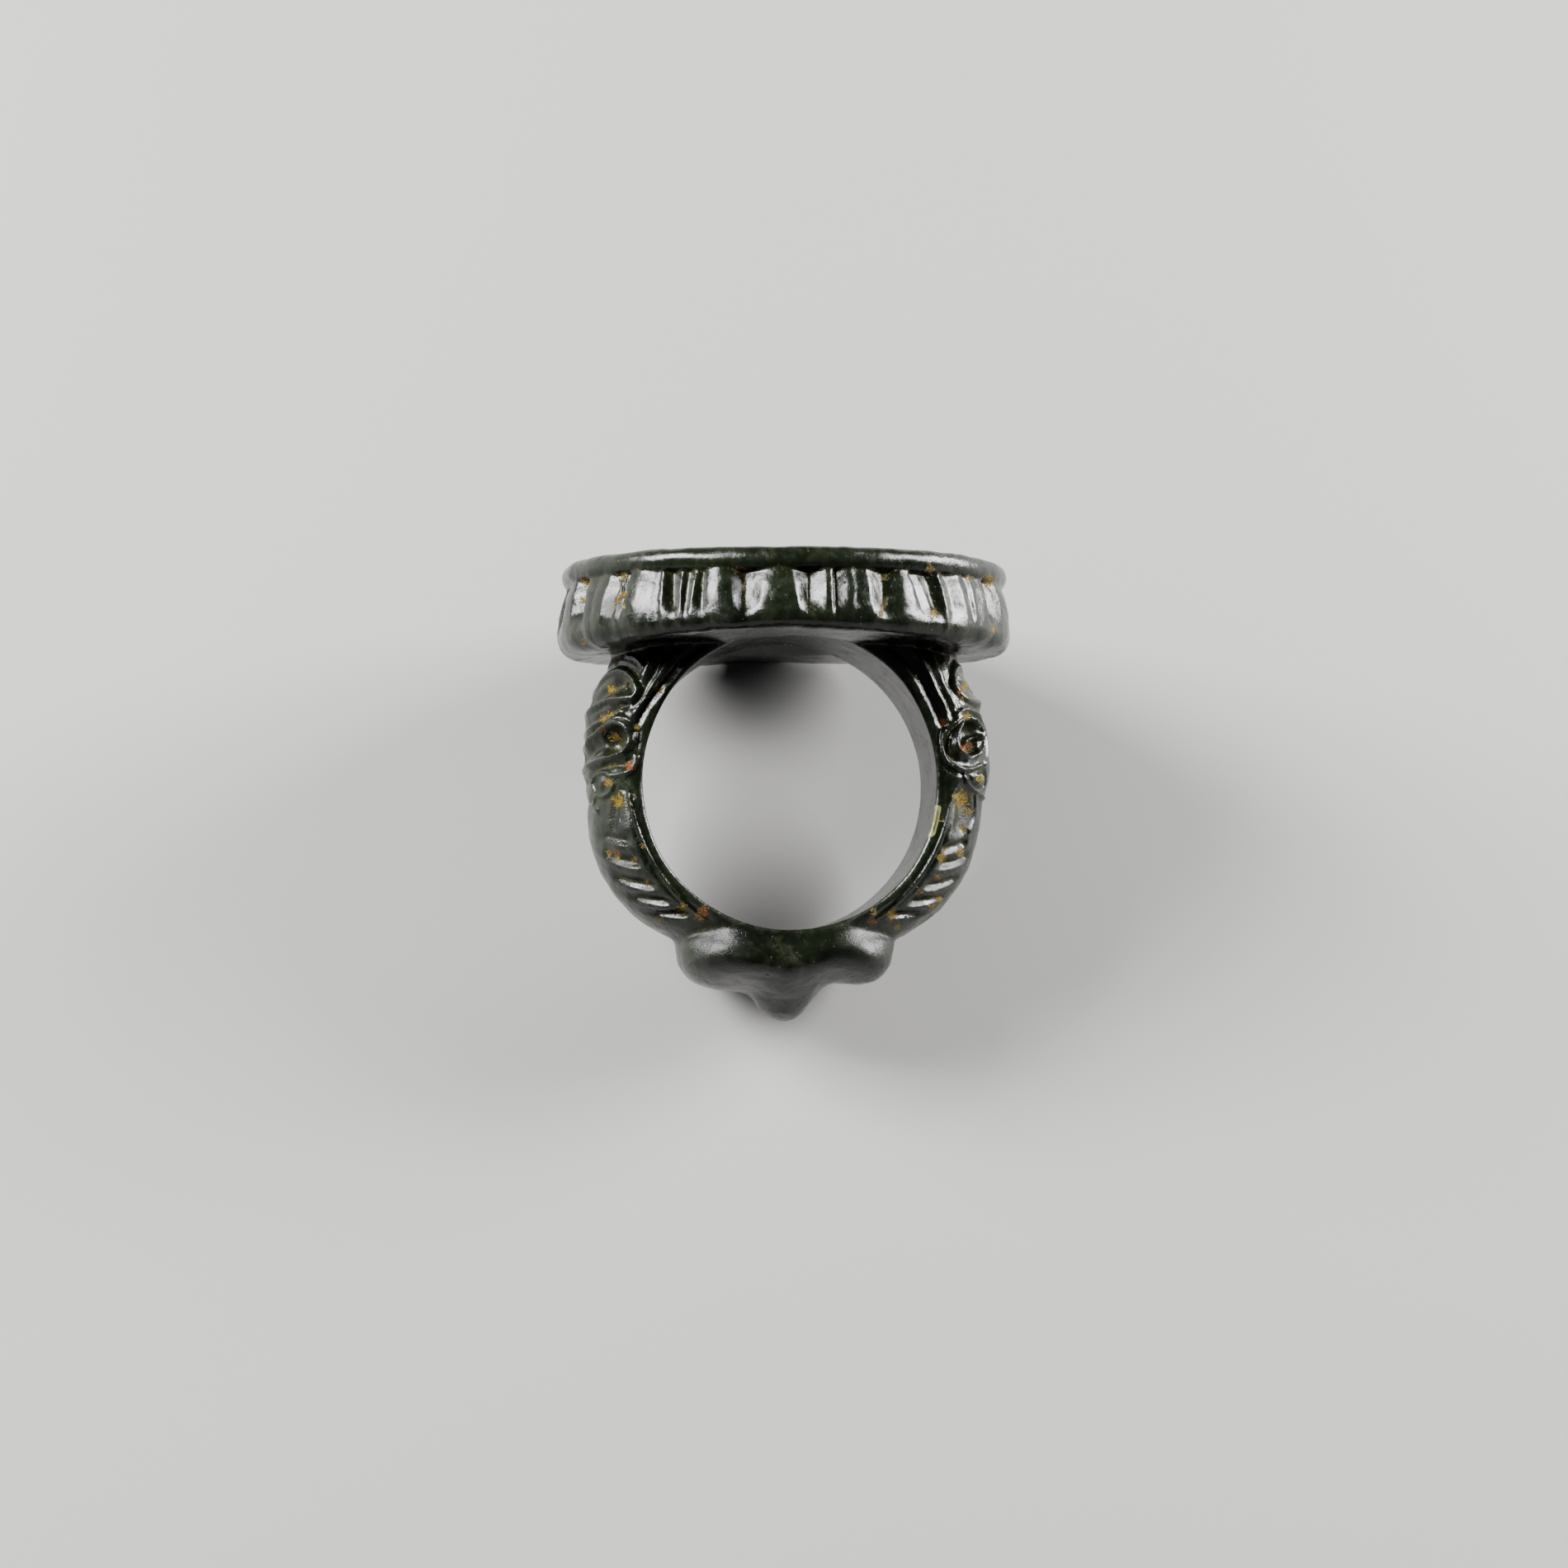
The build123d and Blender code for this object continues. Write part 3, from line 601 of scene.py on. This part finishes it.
# where earth sits, and where the stone is worn matt, as seen from the front: across, up, radius in mm
earth = {
    "ochre": (
        (-11.8, 12.1, 0.30), (-12.0, 11.0, 0.22), (-9.5, 12.4, 0.22), (-9.6, 11.3, 0.26), (-9.9, 11.0, 0.22),
        (-11.9, 8.4, 0.22), (-10.1, 7.3, 0.24), (-2.8, 12.8, 0.22), (6.0, 12.4, 0.22), (5.4, 12.4, 0.15),
        (8.7, 12.8, 0.26), (8.9, 10.1, 0.32), (5.8, 10.2, 0.22), (11.0, 12.2, 0.22), (12.2, 12.1, 0.42),
        (12.5, 9.2, 0.20), (7.8, 7.7, 0.20), (9.1, 7.7, 0.26), (-10.3, 5.7, 0.30), (-10.8, 3.9, 0.24),
        (-10.4, 4.2, 0.24), (-10.8, 3.2, 0.22), (-10.1, 2.8, 0.30), (-10.5, 0.1, 0.28), (-9.9, -1.0, 0.46),
        (-7.5, 5.7, 0.26), (-7.0, 6.3, 0.16), (-8.1, 4.6, 0.16), (-8.8, 3.4, 0.20), (10.8, 5.8, 0.26),
        (10.6, 5.1, 0.20), (10.9, 4.0, 0.26), (10.6, -0.9, 0.52), (10.9, -1.7, 0.30), (10.4, -0.8, 0.3),
        (-10.4, -4.1, 0.20), (-9.9, -4.3, 0.20), (-8.9, -4.5, 0.16), (-8.2, -5.8, 0.16), (-6.1, -7.5, 0.36),
        (-4.9, -8.1, 0.16), (-7.4, -8.2, 0.20), (-8.4, -3.7, 0.16), (10.7, -2.6, 0.22), (9.4, -4.4, 0.30),
        (10.5, -4.1, 0.26), (9.1, -5.6, 0.22), (9.2, -6.8, 0.24), (8.8, -7.3, 0.22), (8.1, -6.6, 0.22),
        (6.5, -7.8, 0.34), (6.7, -8.6, 0.20), (-5.2, -7.9, 0.2),
    ),
    "rust": (
        (-2.4, 12.7, 0.24), (9.7, 7.6, 0.22), (-9.2, 1.1, 0.30), (9.5, 3.7, 0.26), (10.5, 5.4, 0.20),
        (10.8, 2.2, 0.36), (8.5, 2.4, 0.22), (-10.1, -4.1, 0.2), (-4.8, -7.6, 0.32), (5.3, -8.2, 0.26),
    ),
    "pale": ((5.4, -7.6, 0.22), (11.7, 0.3, 0.26), (-9.6, 10.6, 0.14), (9.4, -2.2, 0.12)),
}
matt = (
    (-10.0, -2.4, 1.1), (10.3, -2.0, 0.95), (10.2, -3.2, 0.5), (-10.2, 10.6, 0.8), (-10.6, 2.2, 0.6),
    (10.9, 3.2, 0.7), (-4.4, -9.7, 2.2), (4.9, -9.7, 2.2), (-10.9, 4.6, 0.9), (-10.6, 0.4, 0.9),
    (10.0, -4.6, 0.9), (8.9, -5.8, 0.9), (7.6, -6.9, 0.9), (-9.6, -4.6, 0.7), (-8.2, -6.6, 0.6),
)
palePlug = {
    "at": (8.97, -2.25), "along": (-0.23, -0.973),  # seen from the front too
    "long": 0.92, "wide": 0.29,  # half sizes, mm
    "within": (1.4, 1.1), "rim": -5.0, "rimDeep": 0.9,  # it is kept to the front rim, at this y
}

wear = {
    "hollowRounds": 14, "ridgeRounds": 3,  # how far round a point its neighbours count
    "hollow": (0.015, 0.11), "ridge": (0.004, 0.022),  # mm below or above them: none, and whole
    "knopPlain": (-10.5, -8.5),  # no dust lies in the knop, below this height
    "earthFade": (1.5, 0.45), "mattFade": (1.3, 0.5),  # shares of a patch's radius: none, and whole
}
p, n = pointsOf(ring.data), normalsOf(ring.data)
pixels = view["lens"] / view["sensor"] * view["photoWide"]
nearness = pixels / view["seenScale"] / (view["away"] + p @ np.array(ahead))
seenX, seenZ = p @ np.array(across) * nearness, p @ np.array(up) * nearness
towards = smoothStep(-(n @ np.array(ahead)), -0.02, 0.2)  # what the photograph shows, but not the table
towards = towards * smoothStep(n[:, 2], 0.95, 0.8) * (p[:, 1] < 1.5)


def patch(places, outer, inner):  # 1 at the places, 0 beyond the outer share of their radius
    best = np.zeros(len(p))
    for x, z, r in places:
        best = np.maximum(best, smoothStep(np.hypot(seenX - x, seenZ - z) / r, outer, inner) * towards)
    return best


def sunk(rounds):  # mm below the neighbours: above zero in the cuts, below zero on the ridges
    return np.einsum("ij,ij->i", spread(ring.data, p, rounds) - p, n)


carved = smoothStep(p[:, 2], *wear["knopPlain"]) * (1 - inHoleOf(p))
plugFar = np.hypot(seenX - palePlug["at"][0], seenZ - palePlug["at"][1])
plugPoint = p[np.argmin(plugFar + 9 * (1 - towards))]  # the nearest that the camera sees
plugCentre = toFrame @ (Vector(plugPoint) * mm) * 1000
mask = {name: patch(places, *wear["earthFade"]) for name, places in earth.items()}
mask["matt"] = patch(matt, *wear["mattFade"])
mask["plug"] = smoothStep(plugFar, *palePlug["within"]) * towards
mask["plug"] *= np.abs(p[:, 1] - palePlug["rim"]) < palePlug["rimDeep"]
mask["hollow"] = smoothStep(sunk(wear["hollowRounds"]), *wear["hollow"]) * carved
mask["ridge"] = smoothStep(-sunk(wear["ridgeRounds"]), *wear["ridge"])
for name, values in mask.items():
    layer = ring.data.attributes.new(name, "FLOAT", "POINT")
    layer.data.foreach_set("value", values.astype(np.float32))
print("earth and wear placed")

ring.data.transform(toFrame @ Matrix.Scale(mm, 4))
ring.data.polygons.foreach_set("use_smooth", [True] * len(ring.data.polygons))
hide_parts("carved_ring")
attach(ring, "root")


def newMaterial(name):
    material = bpy.data.materials.new(name)
    material.use_nodes = True
    return material, material.node_tree.nodes["Principled BSDF"]


darkJade, shader = newMaterial("dark_jade")
tree = darkJade.node_tree


def feed(socket, value):
    if isinstance(value, bpy.types.NodeSocket):
        tree.links.new(value, socket)
    else:
        socket.default_value = value


def add(kind, feeds=(), **settings):
    item = tree.nodes.new(kind)
    for key, value in settings.items():
        setattr(item, key, value)
    for socket, value in dict(feeds).items():
        feed(item.inputs[socket], value)
    return item


def noise(where, scale, detail=4.0, rough=0.55, warp=0.0):
    return add("ShaderNodeTexNoise", {"Vector": where, "Scale": scale, "Detail": detail, "Roughness": rough,
                                      "Distortion": warp}).outputs["Fac"]


def between(value, low, high, a=0.0, b=1.0):
    return add("ShaderNodeMapRange", {"Value": value, "From Min": low, "From Max": high, "To Min": a,
                                      "To Max": b}).outputs["Result"]


def sums(kind, a, b=0.0, clamp=False):
    return add("ShaderNodeMath", {0: a, 1: b}, operation=kind, use_clamp=clamp).outputs[0]


def times(a, b):
    return sums("MULTIPLY", a, b)


def plus(a, b):
    return sums("ADD", a, b)


def larger(a, b, clamp=False):
    return sums("MAXIMUM", a, b, clamp)


def tint(amount, a, b):  # from a to b
    item = add("ShaderNodeMix", {"Factor": amount}, data_type="RGBA")
    for socket, value in ((item.inputs[6], a), (item.inputs[7], b)):
        feed(socket, (*value, 1) if isinstance(value, tuple) else value)
    return item.outputs[2]


def onStone(name):  # what was worked out point by point
    return add("ShaderNodeAttribute", attribute_name=name).outputs["Fac"]


jade = {
    "deep": (0.0009, 0.0014, 0.0006), "green": (0.0027, 0.0044, 0.0014), "olive": (0.0090, 0.0108, 0.0025),
    "grey": (0.011, 0.0135, 0.0092), "moss": (0.0130, 0.0130, 0.0019),
    "ochre": (0.106, 0.073, 0.0012), "rust": (0.112, 0.023, 0.0006), "pale": (0.134, 0.118, 0.040),
    # the first colour on the next line is painted shade, mixed into the caked earth and the dust
    "paintedEarthShade": (0.027, 0.015, 0.0020), "stain": (0.015, 0.011, 0.0022),
    "plug": (0.056, 0.060, 0.017), "plugEdge": (0.107, 0.110, 0.043),
    "polish": 0.17, "satin": 0.34, "earthRough": 0.95,
    "ior": 1.62, "specular": 0.165,
    # how fine each cloud and grain is, and how far it stands up, in mm
    "scale": {"clouds": 0.22, "patches": 0.75, "flecks": 2.6, "grains": 9.0, "crumbs": 5.0, "clods": 2.8,
              "seeds": 12.0, "scratches": 3.0, "pits": 2.2},
    "bump": {"scratches": -0.0025, "pits": -0.05, "grains": 0.034, "flecks": 0.024, "crumbs": 0.009,
             "soil": 0.12},
}
scale, bump = jade["scale"], jade["bump"]
inMm = add("ShaderNodeVectorMath", {0: add("ShaderNodeTexCoord").outputs["Object"], 1: (1000,) * 3},
           operation="MULTIPLY").outputs[0]
clouds = noise(inMm, scale["clouds"], 5, 0.6, 0.6)
patches = noise(inMm, scale["patches"], 5, 0.62, 0.8)
flecks = noise(inMm, scale["flecks"], 4, 0.7)
grains = noise(inMm, scale["grains"], 3, 0.7)
crumbs = noise(inMm, scale["crumbs"], 4, 0.75)
hollowHere, ridgeHere = onStone("hollow"), onStone("ridge")

colour = tint(between(clouds, 0.38, 0.62), jade["deep"], jade["green"])
colour = tint(between(patches, 0.52, 0.74, 0, 0.55), colour, jade["olive"])
colour = tint(times(between(flecks, 0.58, 0.75), between(patches, 0.4, 0.6, 0.1, 0.6)), colour, jade["grey"])
colour = tint(times(hollowHere, between(patches, 0.35, 0.6, 0.1, 0.7)), colour, jade["moss"])
colour = tint(times(ridgeHere, between(flecks, 0.35, 0.65, 0.05, 0.5)), colour, jade["grey"])

# the pale plug: a short straight bar let into the rim
across3, up3 = toFrame.to_3x3() @ across, toFrame.to_3x3() @ up
ux, uz = palePlug["along"]
offset = add("ShaderNodeVectorMath", {0: inMm, 1: plugCentre}, operation="SUBTRACT").outputs[0]
bar = []
for way, half in ((across3 * ux + up3 * uz, palePlug["long"]), (across3 * uz - up3 * ux, palePlug["wide"])):
    along = add("ShaderNodeVectorMath", {0: offset, 1: way.normalized() / half}, operation="DOT_PRODUCT")
    bar.append(sums("POWER", sums("ABSOLUTE", along.outputs["Value"]), 5.0))
bar = plus(sums("POWER", plus(*bar), 0.2), between(flecks, 0.3, 0.7, -0.12, 0.12))
barColour = tint(between(bar, 0.62, 0.9), tint(between(flecks, 0.4, 0.6), jade["plug"], jade["moss"]),
                 jade["plugEdge"])
colour = tint(times(between(bar, 1.08, 0.98), between(onStone("plug"), 0.4, 0.6)), colour, barColour)

# earth: grains and clods that thin out from the charted places, a brown stain, dust in the cuts, and painted
# shade over them
clods = noise(inMm, scale["clods"], 3, 0.6, 0.4)
seeds = noise(inMm, scale["seeds"], 1, 0.5)
broken = plus(times(clods, 0.5), times(seeds, 0.5))
dust = between(plus(times(crumbs, 0.55), times(patches, 0.45)), 0.565, 0.605)
dust = times(dust, between(hollowHere, 0.35, 0.85))
caked, stain = {}, None
for name in earth:
    here = onStone(name)
    caked[name] = times(between(plus(broken, times(here, 0.19)), 0.625, 0.655), between(here, 0.02, 0.12))
    stain = here if stain is None else larger(stain, here)
colour = tint(times(stain, between(patches, 0.3, 0.6, 0.15, 0.6)), colour, jade["stain"])
# painted shade: a darker umber, mixed in by grain noise, shades the caked ochre, the rust and the dust, and
# the pale earth is shaded towards ochre
shade = between(plus(times(grains, 0.6), times(crumbs, 0.4)), 0.42, 0.58)
ochreShade = tint(shade, jade["ochre"], jade["paintedEarthShade"])
colour = tint(dust, colour, ochreShade)
colour = tint(caked["ochre"], colour, ochreShade)
colour = tint(caked["rust"], colour, tint(shade, jade["rust"], jade["paintedEarthShade"]))
colour = tint(caked["pale"], colour, tint(shade, jade["pale"], jade["ochre"]))
feed(shader.inputs["Base Color"], colour)

soil = larger(larger(dust, caked["ochre"]), larger(caked["rust"], caked["pale"]))
satin = larger(between(patches, 0.45, 0.68, 0, 0.6), onStone("matt"), True)
satin = larger(satin, times(hollowHere, 0.5))
rough = plus(between(satin, 0, 1, jade["polish"], jade["satin"]), between(grains, 0.3, 0.7, -0.05, 0.07))
rough = add("ShaderNodeMix", {"Factor": soil, 2: rough, 3: jade["earthRough"]}).outputs[0]
feed(shader.inputs["Roughness"], rough)

# bump: fine scratches both ways, pits, worn satin, caked grains standing proud
height = None
for turned, stretched in (((0.4, 0.3, 0.7), (7, 0.7, 1.1)), ((1.2, 0.5, -0.6), (0.8, 8, 0.9))):
    drawn = add("ShaderNodeMapping", {"Vector": inMm, "Rotation": turned, "Scale": stretched}).outputs[0]
    scratches = times(between(noise(drawn, scale["scratches"], 2, 0.5), 0.62, 0.75), bump["scratches"])
    height = scratches if height is None else plus(height, scratches)
pits = add("ShaderNodeTexVoronoi", {"Vector": inMm, "Scale": scale["pits"], "Randomness": 1.0})
pits = times(between(pits.outputs["Distance"], 0.10, 0.02), between(flecks, 0.5, 0.6))
height = plus(height, times(pits, bump["pits"]))
height = plus(height, times(times(grains, satin), bump["grains"]))
height = plus(height, times(flecks, bump["flecks"]))
height = plus(height, times(crumbs, bump["crumbs"]))
height = plus(height, times(times(soil, crumbs), bump["soil"]))
normal = add("ShaderNodeBump", {"Height": height, "Strength": 1.0, "Distance": mm}).outputs[0]
feed(shader.inputs["Normal"], normal)
shader.inputs["IOR"].default_value = jade["ior"]
shader.inputs["Specular IOR Level"].default_value = jade["specular"]
ring.data.materials.clear()
ring.data.materials.append(darkJade)
print("stone made")

studio = {
    "floorHalf": 0.6, "paper": (0.162, 0.160, 0.155, 1), "paperRough": 0.8,
    "boxes": {"left_box": (-0.257, 0.091, 0.195), "right_box": (0.292, 0.105, 0.12)},  # where they stand, m
    "boxSize": (0.16, 0.20), "power": 9.2, "aim": (0, 0, 0.010),
    "sky": (0.9, 0.92, 0.95, 1), "skyStrength": 0.12,
}
half = studio["floorHalf"]
corners = [(-half, -half, 0), (half, -half, 0), (half, half, 0), (-half, half, 0)]
floorMesh = bpy.data.meshes.new("floor")
floorMesh.from_pydata(corners, [], [(0, 1, 2, 3)])
floor = bpy.data.objects.new("floor", floorMesh)
bpy.context.collection.objects.link(floor)
paper, paperShader = newMaterial("paper")
paperShader.inputs["Base Color"].default_value = studio["paper"]
paperShader.inputs["Roughness"].default_value = studio["paperRough"]
floorMesh.materials.append(paper)

cameraData = bpy.data.cameras.new("camera")
cameraData.lens = view["lens"]
cameraData.sensor_width = view["sensor"]
cameraData.clip_start = 0.01
camera = bpy.data.objects.new("camera", cameraData)
bpy.context.collection.objects.link(camera)
spot = toFrame @ (-ahead * view["away"] * mm)
turned = toFrame.to_3x3() @ Matrix((across, up, -ahead)).transposed()
camera.matrix_world = Matrix.Translation(spot) @ turned.to_4x4()
bpy.context.scene.camera = camera

for name, where in studio["boxes"].items():
    data = bpy.data.lights.new(name, "AREA")
    data.shape = "RECTANGLE"
    data.size, data.size_y = studio["boxSize"]
    data.energy = studio["power"]
    lamp = bpy.data.objects.new(name, data)
    bpy.context.collection.objects.link(lamp)
    lamp.location = where
    lamp.rotation_euler = (Vector(studio["aim"]) - Vector(where)).to_track_quat("-Z", "Y").to_euler()
world = bpy.data.worlds.new("studio")
bpy.context.scene.world = world
world.use_nodes = True
world.node_tree.nodes["Background"].inputs["Color"].default_value = studio["sky"]
world.node_tree.nodes["Background"].inputs["Strength"].default_value = studio["skyStrength"]
print("studio ready")
